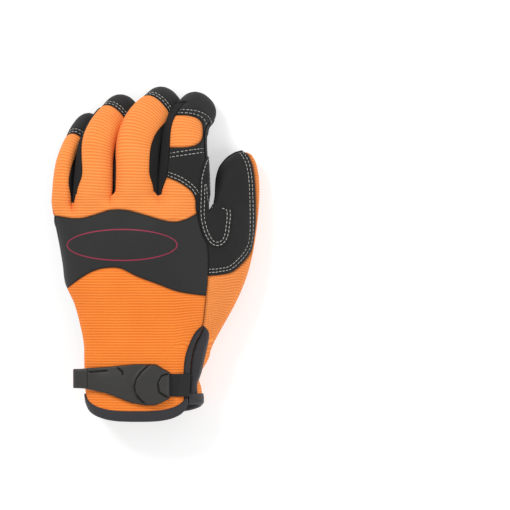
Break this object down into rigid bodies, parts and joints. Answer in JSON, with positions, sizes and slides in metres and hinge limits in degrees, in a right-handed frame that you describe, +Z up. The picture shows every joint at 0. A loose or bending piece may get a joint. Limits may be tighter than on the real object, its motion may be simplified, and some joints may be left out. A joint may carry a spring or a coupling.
{
  "type": "mechanic glove",
  "caption": "Left-hand mechanic's work glove lying palm down, with a leather palm, stretch knit back, padded palm, capped fingertips and a wrist strap with a moulded tab.",
  "frame": {"origin": "on the floor under the middle of the glove's bounding box", "axes": "+X to the thumb side, +Y from the cuff to the fingertips, +Z up from the palm to the back of the hand"},
  "size_m": [0.1518, 0.245, 0.057],
  "materials": {
    "orange_knit": "ribbed stretch knit",
    "black_neoprene": "smooth matte",
    "black_leather": "soft suede nap",
    "grip_leather": "soft suede nap",
    "padded_leather": "soft suede nap over foam",
    "black_stretch": "fine stretch knit",
    "binding_tape": "folded elastic tape",
    "black_webbing": "flat woven webbing",
    "moulded_rubber": "satin moulded"
  },
  "bodies": {
    "root": {"knuckle_knit": "orange_knit", "index_knit": "orange_knit", "wrist_knit": "orange_knit", "thumb_knit": "orange_knit", "palm_cuff_knit": "orange_knit", "knuckle_band": "black_neoprene", "index_patch": "black_leather", "thumb_leather": "black_leather", "palm_leather": "black_leather", "fingertip_pinky": "black_leather", "fingertip_ring": "black_leather", "fingertip_middle": "black_leather", "fingertip_index": "black_leather", "thumb_saddle": "grip_leather", "thumb_patch": "grip_leather", "index_tip_patch": "grip_leather", "knuckle_pad": "padded_leather", "heel_pad": "padded_leather", "thenar_pad": "padded_leather", "fourchette_1": "black_stretch", "fourchette_2": "black_stretch", "fourchette_3": "black_stretch", "cuff_binding": "binding_tape", "slit_binding_left": "binding_tape", "slit_binding_right": "binding_tape", "strap_webbing": "black_webbing", "strap_tab": "moulded_rubber", "strap_grip": "moulded_rubber"}
  },
  "joints": []
}
